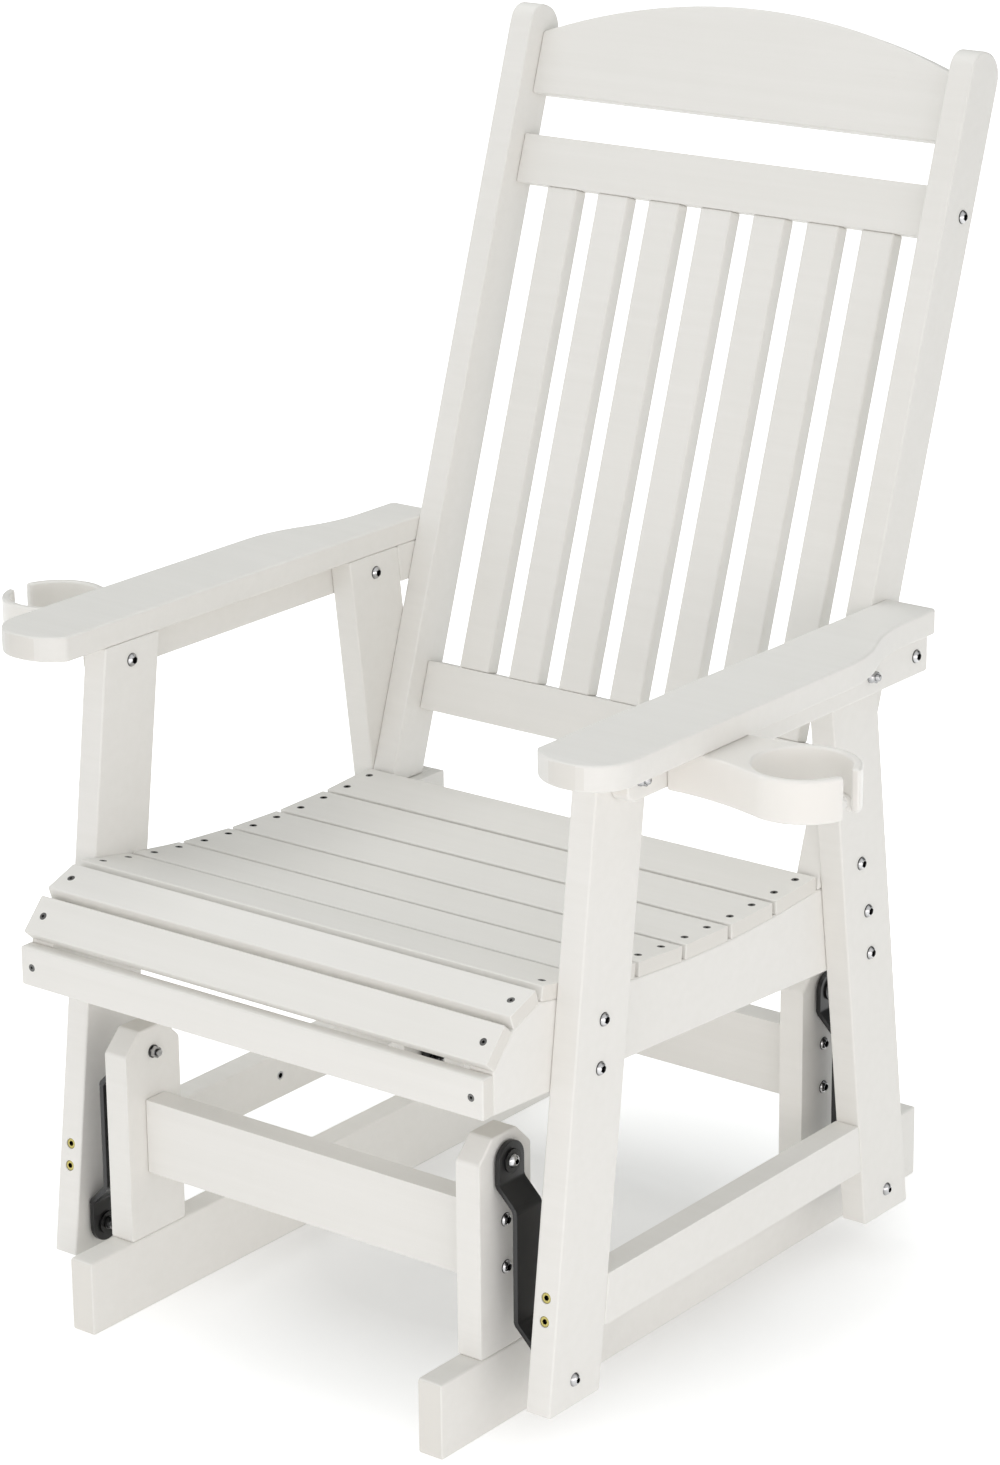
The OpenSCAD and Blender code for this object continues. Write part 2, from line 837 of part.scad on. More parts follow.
module stile(side) {
    outline = rounded([
        [0, 0, 0],
        [narrow_w, narrow_w * tan(recline), 0],
        [narrow_w, stile_len, stile_rear_r],
        [0, stile_len, stile_front_r]
    ]);
    color(board_colour)
        chair()
            on_side(side)
                difference() {
                    in_back()
                        difference() {
                            side_board(side_in_x, board_t) polygon(outline);
                            back_dowels(hole_gap);
                            cross_holes([[upper_bolt_depth, upper_bolt_up]], bolt_d);
                        }
                    sleeve_holes([stile_bolt, end_arm_bolt], leg_x, stile_embed);
                }
}

// Long screws through the far edge of a back rail into the ends of the back slats
module slat_end_screws(gap = 0) {
    length = narrow_w + end_screw_embed;
    for (i = [0:back_slat_count - 1])
        translate([
            (i - (back_slat_count - 1) / 2) * back_slat_pitch, slat_depth + back_slat_t / 2, 0
        ]) {
            translate([0, 0, upper_rail_up + narrow_w])
                flat_screw(end_screw_d, length, end_screw_head_d, end_screw_head_h, gap);
            translate([0, 0, lower_rail_up])
                rotate([180, 0, 0])
                    flat_screw(end_screw_d, length, end_screw_head_d, end_screw_head_h, gap);
        }
}

module lower_back_rail() {
    color(board_colour)
        chair()
            in_back()
                difference() {
                    translate([-side_in_x, back_set, lower_rail_up])
                        cube([2 * side_in_x, board_t, narrow_w]);
                    both_sides() back_dowels(hole_gap);
                    slat_end_screws(hole_gap);
                }
}

module upper_back_rail() {
    color(board_colour)
        chair()
            in_back()
                difference() {
                    translate([-side_in_x, back_set, upper_rail_up])
                        cube([2 * side_in_x, board_t, narrow_w]);
                    both_sides()
                        sleeve_holes([[upper_bolt_depth, upper_bolt_up]], side_in_x, base_embed);
                    slat_end_screws(hole_gap);
                }
}

// Crest rail, whose top is one arch between the stiles
module crest_rail() {
    color(board_colour)
        chair()
            in_back()
                difference() {
                    translate([0, back_set + board_t, 0])
                        rotate([90, 0, 0])
                            linear_extrude(board_t)
                                intersection() {
                                    translate([-side_in_x, crest_up])
                                        square([2 * side_in_x, crest_end_h + crest_rise]);
                                    translate([0, crest_top_up - crest_r]) circle(r = crest_r);
                                }
                    both_sides() back_dowels(hole_gap);
                }
}

module back_slat(k) {
    low = lower_rail_up + narrow_w;
    color(board_colour)
        chair()
            in_back()
                difference() {
                    translate([
                        (k - (back_slat_count - 1) / 2) * back_slat_pitch - back_slat_w / 2,
                        slat_depth,
                        low
                    ])
                        cube([back_slat_w, back_slat_t, upper_rail_up - low]);
                    slat_end_screws(hole_gap);
                }
}

// Arms

nose_cut_x = 18.4;
nose_cut_y = 20;
nose_in_r = 50;
nose_out_r = 39;
tail_r = 6;

// Outline of the armrest from above, with its rounded nose and the waist near its rear end
module armrest_outline() {
    in_x = leg_x;
    out_x = leg_x + armrest_w;
    nose_y = -armrest_nose;
    waist_y = pivot_span - waist_ahead;
    polygon(rounded([
        [in_x, nose_y + nose_cut_y, 0],
        [in_x + nose_cut_x, nose_y, nose_in_r],
        [out_x, nose_y, nose_out_r],
        [out_x, waist_y + waist_len / 4, waist_r],
        [out_x - waist_d, waist_y + waist_len * 3 / 4, waist_r],
        [out_x - waist_d, armrest_rear, tail_r],
        [in_x, armrest_rear, 0]
    ]));
}

// Screws that rise through the arm rail into the armrest
module armrest_screws(gap = 0) {
    for (share = [0.12, 0.5, 0.88])
        translate([
            leg_out_x + arm_rail_t / 2,
            arm_rail_front + share * (armrest_rear - arm_rail_front),
            armrest_under_z - arm_rail_h
        ])
            rotate([180, 0, 0])
                flat_screw(
                    end_screw_d, arm_rail_h + arm_screw_embed, end_screw_head_d,
                    end_screw_head_h, gap
                );
}

module armrest(side) {
    color(board_colour)
        chair()
            on_side(side)
                difference() {
                    translate([0, 0, armrest_under_z]) linear_extrude(armrest_t) armrest_outline();
                    armrest_screws(hole_gap);
                    cup_screws(hole_gap);
                }
}

rail_nose_r = 12;

module arm_rail(side) {
    low = armrest_under_z - arm_rail_h;
    outline = rounded([
        [arm_rail_front, armrest_under_z, 0],
        [arm_rail_front, low, rail_nose_r],
        [armrest_rear, low, 0],
        [armrest_rear, armrest_under_z, 0]
    ]);
    color(board_colour)
        chair()
            on_side(side)
                difference() {
                    side_board(leg_out_x, arm_rail_t) polygon(outline);
                    cross_holes([front_arm_bolt, rear_arm_bolt, end_arm_bolt], bolt_d);
                    armrest_screws(hole_gap);
                }
}

// Blocks that fill the space between arm rail and stile behind the rear legs
module arm_spacers() {
    low = armrest_under_z - arm_rail_h;
    outline = [
        [leg_mid(1, low) + leg_half, low],
        [armrest_rear, low],
        [armrest_rear, armrest_under_z],
        [leg_mid(1, armrest_under_z) + leg_half, armrest_under_z]
    ];
    color(board_colour)
        chair()
            both_sides()
                difference() {
                    side_board(leg_x, board_t) polygon(outline);
                    cross_holes([end_arm_bolt], bolt_d);
                }
}

// Cup holders

// Screws that rise through the cup holder's neck into the armrest's overhang
module cup_screws(gap = 0) {
    overhang_x = (arm_rail_out_x + leg_x + armrest_w) / 2;
    for (offset = [-0.5, 0.5])
        translate([overhang_x, cup_y + offset * cup_screw_pitch, armrest_under_z - cup_h])
            rotate([180, 0, 0])
                flat_screw(
                    end_screw_d, cup_h + arm_screw_embed, end_screw_head_d, end_screw_head_h, gap
                );
}

// Outline of the cup holder from above: a ring round the origin and a neck that reaches to the
// arm rail at x = -cup_reach. Each side of the neck is an arc from the neck's corner on the rail
// to where it meets the ring tangentially.
function cup_outline(ring_r) =
    let (
        slope = neck_w / 2 / cup_reach,
        sum_r = ring_r + neck_r,
        shift = (pow(neck_r, 2) - pow(sum_r, 2) - pow(cup_reach, 2) - pow(neck_w / 2, 2))
            / (2 * cup_reach),
        a = 1 + slope * slope,
        b = 2 * slope * shift,
        c = shift * shift - sum_r * sum_r,
        arc_y = (-b + sqrt(b * b - 4 * a * c)) / (2 * a),
        arc_x = slope * arc_y + shift,
        rail_angle = atan2(arc_y - neck_w / 2, -cup_reach - arc_x),
        ring_angle = atan2(arc_y, -arc_x),
        ring_turn = 180 - ring_angle,
        ring_step = 2 * ring_turn / (ring_steps + 2)
    )
    concat(
        arc([arc_x, -arc_y], neck_r, rail_angle, ring_angle, neck_steps),
        arc([0, 0], ring_r, ring_step - ring_turn, ring_turn - ring_step, ring_steps),
        arc([arc_x, arc_y], neck_r, -ring_angle, -rail_angle, neck_steps)
    );

module cup_holder(side) {
    ring_r = cup_d / 2 + cup_wall;
    color(cup_colour)
        chair()
            on_side(side)
                difference() {
                    translate([arm_rail_out_x + cup_reach, cup_y, armrest_under_z - cup_h])
                        difference() {
                            linear_extrude(cup_h) polygon(cup_outline(ring_r));
                            translate([0, 0, ledge_t]) cylinder(d = cup_d, h = cup_h, $fn = 96);
                            translate([0, 0, -1])
                                cylinder(d = cup_d - 2 * ledge_w, h = cup_h, $fn = 96);
                            translate([0, -cup_slot / 2, -1])
                                cube([2 * ring_r, cup_slot, cup_h + 2]);
                        }
                    cup_screws(hole_gap);
                }
}

// Fasteners of the seat frame

module frame_bolts() {
    color(steel_colour)
        chair()
            both_sides() {
                for (p = front_rail_bolts)
                    facing_out(leg_out_x, p) bolt_and_nut(bolt_d, 2 * board_t);
                for (p = rear_rail_bolts)
                    facing_out(leg_out_x, p) bolt_and_nut(bolt_d, 2 * board_t + block_t);
                for (p = [front_arm_bolt, rear_arm_bolt])
                    facing_in(leg_x, p) bolt_and_nut(bolt_d, board_t + arm_rail_t);
                sleeved_bolt(leg_out_x, stile_bolt, leg_x, stile_embed);
                sleeved_bolt(arm_rail_out_x, end_arm_bolt, leg_x, stile_embed);
                in_back()
                    sleeved_bolt(
                        leg_x, [upper_bolt_depth, upper_bolt_up], side_in_x, base_embed
                    );
                facing_in(leg_x, [middle_y, side_stretcher_mid_z])
                    insert(middle_insert_d, middle_bore_d, middle_insert_len);
            }
}

module lower_pivot_bolts() {
    grip = leg_out_x - lower_strap_x + washer_t + side_gap;
    color(steel_colour)
        chair()
            both_sides()
                for (y = [0, pivot_span])
                    facing_out(leg_out_x, [y, low_pivot_z])
                        bolt_and_nut(pivot_bolt_d, grip);
}

// Long bolts into the side stretchers, with their threaded sleeves
module brass_bolts() {
    color(brass_colour)
        chair()
            both_sides()
                for (rear = [0, 1], offset = [-0.5, 0.5])
                    brass_axis(rear, offset) {
                        difference() {
                            brass_bolt();
                            translate([0, 0, brass_head_z - socket_depth])
                                cylinder(d = socket_d, h = socket_depth + 1, $fn = 6);
                        }
                        translate([0, 0, brass_embed])
                            insert(insert_d, bolt_d + 2 * thread_gap, insert_len);
                    }
}

// Fixings that stay out of sight: back slats, armrests, cup holders and the dowels of the back
module hidden_screws() {
    color(screw_colour)
        chair() {
            in_back() slat_end_screws();
            both_sides() {
                in_back() back_dowels();
                armrest_screws();
                cup_screws();
            }
        }
}

foot(-1);  // left_foot
foot(1);  // right_foot
post(-1, 0);  // front_left_post
post(1, 0);  // front_right_post
post(-1, pivot_span);  // rear_left_post
post(1, pivot_span);  // rear_right_post
base_stretcher(0);  // front_base_stretcher
base_stretcher(pivot_span);  // rear_base_stretcher
base_bolts();
upper_pivot_bolts();
swing_arm(-1, 0);  // front_left_arm
swing_arm(1, 0);  // front_right_arm
swing_arm(-1, pivot_span);  // rear_left_arm
swing_arm(1, pivot_span);  // rear_right_arm
bushes(-1, 0);  // front_left_bushes
bushes(1, 0);  // front_right_bushes
bushes(-1, pivot_span);  // rear_left_bushes
bushes(1, pivot_span);  // rear_right_bushes
leg(-1, 0);  // front_left_leg
leg(1, 0);  // front_right_leg
leg(-1, 1);  // rear_left_leg
leg(1, 1);  // rear_right_leg
side_stretcher(-1);  // left_side_stretcher
side_stretcher(1);  // right_side_stretcher
side_rail(-1);  // left_side_rail
side_rail(1);  // right_side_rail
nose_slat(nose_2, 90);  // apron
nose_slat(nose_1, lower_nose_tilt);  // lower_front_slat
nose_slat(nose_0, upper_nose_tilt);  // upper_front_slat
seat_slat(0);  // seat_slat_1
seat_slat(1);  // seat_slat_2
seat_slat(2);  // seat_slat_3
seat_slat(3);  // seat_slat_4
seat_slat(4);  // seat_slat_5
seat_slat(5);  // seat_slat_6
stile(-1);  // left_stile
stile(1);  // right_stile
lower_back_rail();
upper_back_rail();
crest_rail();
back_slat(0);  // back_slat_1
back_slat(1);  // back_slat_2
back_slat(2);  // back_slat_3
back_slat(3);  // back_slat_4
back_slat(4);  // back_slat_5
back_slat(5);  // back_slat_6
back_slat(6);  // back_slat_7
armrest(-1);  // left_armrest
armrest(1);  // right_armrest
arm_rail(-1);  // left_arm_rail
arm_rail(1);  // right_arm_rail
cup_holder(-1);  // left_cup_holder
cup_holder(1);  // right_cup_holder
arm_spacers();
backing_blocks();
frame_bolts();
lower_pivot_bolts();
brass_bolts();
slat_screws();
hidden_screws();
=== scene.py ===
"""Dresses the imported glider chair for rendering: eased board edges, materials, light and camera."""

import math

import bmesh
import bpy
from mathutils import Matrix, Vector


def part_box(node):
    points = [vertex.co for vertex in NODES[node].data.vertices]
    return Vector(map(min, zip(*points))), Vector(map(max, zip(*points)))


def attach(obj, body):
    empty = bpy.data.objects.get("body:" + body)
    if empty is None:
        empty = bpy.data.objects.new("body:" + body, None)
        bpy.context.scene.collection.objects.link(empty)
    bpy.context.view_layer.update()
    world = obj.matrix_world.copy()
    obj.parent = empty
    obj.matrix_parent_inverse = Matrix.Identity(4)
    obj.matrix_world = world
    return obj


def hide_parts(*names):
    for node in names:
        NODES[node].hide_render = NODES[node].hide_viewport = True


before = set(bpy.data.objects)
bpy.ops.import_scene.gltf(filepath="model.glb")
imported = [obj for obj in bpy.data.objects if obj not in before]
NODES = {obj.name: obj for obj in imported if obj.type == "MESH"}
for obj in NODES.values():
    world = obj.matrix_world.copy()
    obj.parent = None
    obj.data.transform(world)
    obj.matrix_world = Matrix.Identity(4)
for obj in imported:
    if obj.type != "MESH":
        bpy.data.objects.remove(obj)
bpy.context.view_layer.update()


# New objects
def add_object(name, data):
    """New object of the scene with a given mesh, camera or lamp."""
    made = bpy.data.objects.new(name, data)
    bpy.context.scene.collection.objects.link(made)
    return made


def object_of(name, shape):
    """New object from a bmesh, which is freed."""
    mesh = bpy.data.meshes.new(name)
    shape.to_mesh(mesh)
    shape.free()
    return add_object(name, mesh)


# Camera, fitted to the photograph: angles in degrees and lengths in metres
IMAGE_H = 1465
FOCAL_PX = 4338.7
SENSOR_MM = 36.0
VIEW_AZIMUTH = 37.86
VIEW_ELEVATION = 18.25
VIEW_ROLL = -0.61
VIEW_DISTANCE = 4.48539
TARGET = Vector((-0.26047, 0.30766, 0.38822))
CLIP_END = 100


def make_camera():
    """Camera at the photograph's viewing angle."""
    azimuth = math.radians(VIEW_AZIMUTH)
    elevation = math.radians(VIEW_ELEVATION)
    roll = math.radians(VIEW_ROLL)
    back = Vector((
        math.sin(azimuth) * math.cos(elevation),
        -math.cos(azimuth) * math.cos(elevation),
        math.sin(elevation),
    ))
    level = Vector((math.cos(azimuth), math.sin(azimuth), 0))
    upright = back.cross(level)
    right = math.cos(roll) * level + math.sin(roll) * upright
    up = math.cos(roll) * upright - math.sin(roll) * level
    data = bpy.data.cameras.new("camera")
    data.sensor_fit = "VERTICAL"
    data.sensor_height = SENSOR_MM
    data.lens = FOCAL_PX * SENSOR_MM / IMAGE_H
    data.clip_end = CLIP_END
    camera = add_object("camera", data)
    camera.matrix_world = Matrix.Translation(TARGET + VIEW_DISTANCE * back) @ Matrix((
        (right.x, up.x, back.x, 0),
        (right.y, up.y, back.y, 0),
        (right.z, up.z, back.z, 0),
        (0, 0, 0, 1),
    ))
    bpy.context.scene.camera = camera


make_camera()

# Curve between display levels and linear light
TOP_LEVEL = 255
TOE_END = 0.04045
TOE_SLOPE = 12.92
CURVE_SHIFT = 0.055
CURVE_POWER = 2.4


def linear(*levels):
    """Linear colour of levels from 0 to 255."""
    out = []
    for level in levels:
        value = level / TOP_LEVEL
        if value <= TOE_END:
            out.append(value / TOE_SLOPE)
        else:
            out.append(((value + CURVE_SHIFT) / (1 + CURVE_SHIFT)) ** CURVE_POWER)
    return (*out, 1.0)


# Calls that serve the node trees of materials and of the world alike
def put(tree, socket, value):
    """Sets a socket to a value, or joins it to another socket."""
    if isinstance(value, (int, float, tuple)):
        socket.default_value = value
    else:
        tree.links.new(value, socket)


def map_range(tree, value, low, high, start=0.0, end=1.0):
    """Value moved from start and end to low and high."""
    node = tree.nodes.new("ShaderNodeMapRange")
    names = ("From Min", "From Max", "To Min", "To Max", "Value")
    for name, number in zip(names, (start, end, low, high, value)):
        put(tree, node.inputs[name], number)
    return node.outputs["Result"]


def do_math(tree, operation, *values):
    """Result of a sum on numbers, each a value or a socket."""
    node = tree.nodes.new("ShaderNodeMath")
    node.operation = operation
    for socket, value in zip(node.inputs, values):
        put(tree, socket, value)
    return node.outputs["Value"]


def do_vector(tree, operation, first, second):
    """Number that a sum on two vectors gives, each a value or a socket."""
    node = tree.nodes.new("ShaderNodeVectorMath")
    node.operation = operation
    put(tree, node.inputs[0], first)
    put(tree, node.inputs[1], second)
    return node.outputs["Value"]


def mix_numbers(tree, amount, first, second):
    """Number between two numbers, each a value or a socket."""
    node = tree.nodes.new("ShaderNodeMix")
    for name, value in (("Factor", amount), ("A", first), ("B", second)):
        put(tree, node.inputs[name], value)
    return node.outputs["Result"]


class Shader:
    """A material's node tree, with short calls to fill it."""

    def __init__(self, name):
        """Material with a principled shader joined to its output."""
        self.material = bpy.data.materials.new(name)
        self.material.use_nodes = True
        self.tree = self.material.node_tree
        self.tree.nodes.clear()
        self.output = self.tree.nodes.new("ShaderNodeOutputMaterial")
        self.principled = self.tree.nodes.new("ShaderNodeBsdfPrincipled")
        self.link(self.principled.outputs["BSDF"], self.output.inputs["Surface"])
        self.coordinates = self.tree.nodes.new("ShaderNodeTexCoord").outputs["Object"]

    def link(self, source, target):
        """Joins two sockets."""
        self.tree.links.new(source, target)

    def set(self, **values):
        """Constants of the principled shader, by the names of its sockets."""
        for name, value in values.items():
            self.principled.inputs[name.replace("_", " ")].default_value = value

    def feed(self, socket, source):
        """Joins a socket to one of the principled shader's inputs."""
        self.link(source, self.principled.inputs[socket])

    def mapped(self, scale, rotation=(0, 0, 0)):
        """Object coordinates, turned and scaled."""
        node = self.tree.nodes.new("ShaderNodeMapping")
        node.inputs["Rotation"].default_value = rotation
        node.inputs["Scale"].default_value = scale
        self.link(self.coordinates, node.inputs["Vector"])
        return node.outputs["Vector"]

    def noise(self, vector, scale, detail=2.0, roughness=0.5):
        """Noise of a given scale per metre."""
        node = self.tree.nodes.new("ShaderNodeTexNoise")
        node.inputs["Scale"].default_value = scale
        node.inputs["Detail"].default_value = detail
        node.inputs["Roughness"].default_value = roughness
        self.link(vector, node.inputs["Vector"])
        return node.outputs["Fac"]

    def ranged(self, value, low, high, start=0.0, end=1.0):
        """Value moved from start and end to low and high."""
        return map_range(self.tree, value, low, high, start, end)

    def math(self, operation, *values):
        """Result of a sum on numbers, each a value or a socket."""
        return do_math(self.tree, operation, *values)

    def mixed(self, amount, first, second):
        """Colour between two colours, each a value or a socket."""
        node = self.tree.nodes.new("ShaderNodeMix")
        node.data_type = "RGBA"
        for name, value in (("A", first), ("B", second)):
            socket = [s for s in node.inputs if s.name == name and s.type == "RGBA"][0]
            put(self.tree, socket, value)
        self.link(amount, node.inputs["Factor"])
        return [s for s in node.outputs if s.type == "RGBA"][0]

    def bump(self, height, distance, strength, below=None):
        """Normal of a relief, on top of another relief where one is given."""
        node = self.tree.nodes.new("ShaderNodeBump")
        node.inputs["Distance"].default_value = distance
        node.inputs["Strength"].default_value = strength
        self.link(height, node.inputs["Height"])
        if below is not None:
            self.link(below, node.inputs["Normal"])
        return node.outputs["Normal"]

    def shade_mask(self, distance, low, high):
        """Mask of painted shade: 0 in tight corners within a distance, up to 1 in the open."""
        node = self.tree.nodes.new("ShaderNodeAmbientOcclusion")
        node.samples = SHADE_SAMPLES
        node.inputs["Distance"].default_value = distance
        return self.ranged(node.outputs["AO"], 0.0, 1.0, low, high)

    def piece_random(self):
        """Number from 0 to 1 that differs from piece to piece."""
        return self.tree.nodes.new("ShaderNodeObjectInfo").outputs["Random"]

    def facing(self, direction):
        """How much the true surface faces along a direction, from 0 to 1."""
        normal = self.tree.nodes.new("ShaderNodeNewGeometry").outputs["True Normal"]
        return self.math("ABSOLUTE", do_vector(self.tree, "DOT_PRODUCT", normal, direction))


# Boards. Each noise is its scale per metre, its detail and its roughness; depths are in metres
BOARD_LIGHT = linear(236, 234, 230)
BOARD_DARK = linear(230, 228, 223)
BOARD_END = linear(226, 223, 217)
STREAK_STRETCH = (2.5, 110, 110)
STREAK_NOISE = (1.0, 3.0, 0.6)
BOARD_CLOUDS = (7.0, 3.0)
BOARD_SKIN = (1400.0, 2.0)
PORE_NOISE = (420.0, 3.0, 0.65)
STREAK_SHARE = 0.5
CLOUD_SHARE = 0.3
PIECE_SHARE = 0.2
TONE_START = 0.25
TONE_END = 0.75
SAWN_START = 0.93
SAWN_END = 0.97
SAWN_ROUGHER = 0.12
SAWN_PORES = 2.5
BOARD_ROUGH = (0.46, 0.6)
BOARD_SPECULAR = 0.42
RIDGE_RELIEF = (0.00025, 0.5)
SKIN_RELIEF = (0.00012, 0.6)


def board_material(name, axis, rotation):
    """Extruded board: faint streaks along it, fine skin, and sawn ends."""
    shader = Shader(name)
    streaks = shader.noise(shader.mapped(STREAK_STRETCH, rotation), *STREAK_NOISE)
    clouds = shader.noise(shader.coordinates, *BOARD_CLOUDS)
    skin = shader.noise(shader.coordinates, *BOARD_SKIN)
    pores = shader.noise(shader.coordinates, *PORE_NOISE)
    chance = shader.piece_random()
    tone = 0.0
    for part, share in ((streaks, STREAK_SHARE), (clouds, CLOUD_SHARE), (chance, PIECE_SHARE)):
        tone = shader.math("ADD", tone, shader.math("MULTIPLY", part, share))
    colour = shader.mixed(shader.ranged(tone, 0.0, 1.0, TONE_START, TONE_END), BOARD_DARK, BOARD_LIGHT)
    sawn = shader.ranged(shader.facing(axis), 0.0, 1.0, SAWN_START, SAWN_END)
    shader.feed("Base Color", shader.mixed(sawn, colour, BOARD_END))
    rough = shader.ranged(streaks, *BOARD_ROUGH)
    shader.feed("Roughness", shader.math("ADD", rough, shader.math("MULTIPLY", sawn, SAWN_ROUGHER)))
    shader.set(Specular_IOR_Level=BOARD_SPECULAR)
    ridges = shader.bump(streaks, *RIDGE_RELIEF)
    sawn_pores = shader.math("MULTIPLY", shader.math("MULTIPLY", pores, sawn), SAWN_PORES)
    shader.feed("Normal", shader.bump(shader.math("ADD", skin, sawn_pores), *SKIN_RELIEF, ridges))
    return shader.material


# Slopes of the legs and of the back from the upright
LEAN = math.radians(7.35)
RECLINE = math.radians(18.2)
QUARTER = math.pi / 2
ACROSS = board_material("board_across", (1, 0, 0), (0, 0, 0))
LENGTHWISE = board_material("board_lengthwise", (0, 1, 0), (0, 0, -QUARTER))
UPRIGHT = board_material("board_upright", (0, 0, 1), (0, QUARTER, 0))


def sloping_material(name, slope):
    """Board that rises and slopes towards +Y by an angle."""
    return board_material(name, (0, math.sin(slope), math.cos(slope)), (slope, QUARTER, 0))


FRONT_LEG = sloping_material("board_front_leg", LEAN)
REAR_LEG = sloping_material("board_rear_leg", -LEAN)
RECLINED = sloping_material("board_reclined", RECLINE)

# Cup holders: colours, noises, roughness, light that enters the plastic, and relief
CUP_DARK = linear(233, 230, 225)
CUP_LIGHT = linear(238, 235, 230)
CUP_CLOUDS = (18.0, 2.0)
CUP_GRAIN = (1800.0, 1.0)
CUP_ROUGH = (0.3, 0.38)
CUP_SPECULAR = 0.5
CUP_GLOW_SHARE = 0.4
CUP_GLOW_REACH = 0.012
CUP_RELIEF = (0.00006, 0.5)


def cup_material():
    """Moulded white plastic, smoother than the boards."""
    shader = Shader("cup_plastic")
    clouds = shader.noise(shader.coordinates, *CUP_CLOUDS)
    shader.feed("Base Color", shader.mixed(clouds, CUP_DARK, CUP_LIGHT))
    shader.feed("Roughness", shader.ranged(clouds, *CUP_ROUGH))
    shader.set(Subsurface_Weight=CUP_GLOW_SHARE, Subsurface_Scale=CUP_GLOW_REACH)
    shader.set(Subsurface_Radius=(1.0, 1.0, 1.0))
    grain = shader.noise(shader.coordinates, *CUP_GRAIN)
    shader.set(Specular_IOR_Level=CUP_SPECULAR)
    shader.feed("Normal", shader.bump(grain, *CUP_RELIEF))
    return shader.material


# Dark coatings and mouldings
COAT_CLOUDS = (60.0, 3.0)
COAT_ROUGH_SPREAD = 0.05
COAT_GRAIN_DETAIL = 2.0
COAT_STRENGTH = 0.6


def coated_material(name, low, high, rough, grain_scale, grain_depth):
    """Dark coating or moulding with a fine orange-peel skin."""
    shader = Shader(name)
    clouds = shader.noise(shader.coordinates, *COAT_CLOUDS)
    shader.feed("Base Color", shader.mixed(clouds, low, high))
    spread = (rough - COAT_ROUGH_SPREAD, rough + COAT_ROUGH_SPREAD)
    shader.feed("Roughness", shader.ranged(clouds, *spread))
    grain = shader.noise(shader.coordinates, grain_scale, COAT_GRAIN_DETAIL)
    shader.feed("Normal", shader.bump(grain, grain_depth, COAT_STRENGTH))
    return shader.material


# Fastener metals, with painted shade in the tight corners of heads, washers and nuts
SCUFFS = (300.0, 4.0, 0.7)
SCUFF_RELIEF = (0.00004, 0.5)
METAL_SMOOTHER = 0.08
METAL_ROUGHER = 0.1
SHADE_SAMPLES = 8
SHADE_REACH = 0.0045
SHADE_FULL_AT = 0.55
SHADE_NONE_AT = 0.98
PAINTED_SHADE_COLOUR = linear(22, 22, 22)


def metal_material(name, low, high, rough):
    """Bright fastener metal with fine scuffs, and painted shade in its tight corners."""
    shader = Shader(name)
    clouds = shader.noise(shader.coordinates, *SCUFFS)
    bright = shader.mixed(clouds, low, high)
    # Painted shade: an occlusion test darkens the colour in tight corners, where shade falls
    unshaded = shader.shade_mask(SHADE_REACH, SHADE_FULL_AT, SHADE_NONE_AT)
    shader.feed("Base Color", shader.mixed(unshaded, PAINTED_SHADE_COLOUR, bright))
    shader.feed("Roughness", shader.ranged(clouds, rough - METAL_SMOOTHER, rough + METAL_ROUGHER))
    shader.set(Metallic=1.0)
    shader.feed("Normal", shader.bump(clouds, *SCUFF_RELIEF))
    return shader.material


CUP = cup_material()
STRAP = coated_material(
    "strap_coating", linear(17, 17, 18), linear(25, 25, 26),
    rough=0.32, grain_scale=900.0, grain_depth=0.0001,
)
BUSH = coated_material(
    "bush_nylon", linear(14, 14, 14), linear(22, 22, 22),
    rough=0.24, grain_scale=1500.0, grain_depth=0.00003,
)
STEEL = metal_material("bolt_steel", linear(176, 176, 178), linear(208, 208, 208), rough=0.2)
BRASS = metal_material("brass", linear(160, 150, 84), linear(196, 184, 120), rough=0.28)
SCREW = metal_material("screw_steel", linear(84, 84, 84), linear(118, 118, 116), rough=0.42)
# Darker steel for the walls of the bolt sockets: painted shade inside them
PAINTED_SOCKET_SHADE = metal_material("socket_shaded_steel", linear(52, 52, 52), linear(70, 70, 70), rough=0.4)
BY_SLOT = {
    "cup_plastic": CUP,
    "strap": STRAP,
    "bush": BUSH,
    "bolt_steel": STEEL,
    "brass": BRASS,
    "screw_steel": SCREW,
}

# Words in the names of the boards that don't run across the chair
RUN_WORDS = (
    (("stile", "back_slat"), RECLINED),
    (("post",), UPRIGHT),
    (("foot", "armrest", "arm_rail", "side_rail", "side_stretcher", "spacers", "blocks"), LENGTHWISE),
)


def board_for(name):
    """Board material that runs along the piece."""
    if name.endswith("leg"):
        return FRONT_LEG if name.startswith("front") else REAR_LEG
    for words, material in RUN_WORDS:
        if any(word in name for word in words):
            return material
    return ACROSS


SLOT_WORDS = (
    ("cup_holder", "cup_plastic"),
    ("bushes", "bush"),
    ("slat_screws", "screw_steel"),
    ("hidden_screws", "screw_steel"),
    ("brass_bolts", "brass"),
    ("bolts", "bolt_steel"),
)
STRAP_ENDINGS = ("left_arm", "right_arm")


def slot_of(name):
    """Material slot of a CAD node, by its name."""
    for word, slot in SLOT_WORDS:
        if word in name:
            return slot
    return "strap" if name.endswith(STRAP_ENDINGS) else "board"


# Eased edges
EASE_MIN_LENGTH = 0.0011
EASE_MIN_ANGLE = math.radians(38)
BOARD_EASE = 0.0022
SLAT_EASE = 0.0013
METAL_EASE = 0.0004
BOARD_SEGMENTS = 3
METAL_SEGMENTS = 2
FLAT_ANGLE = math.radians(0.3)
WELD_REACH = 1e-5
NORMAL_WEIGHT = 60
SLAT_WORDS = ("seat_slat", "front_slat")
MERGED_ENDINGS = ("stile", "armrest")


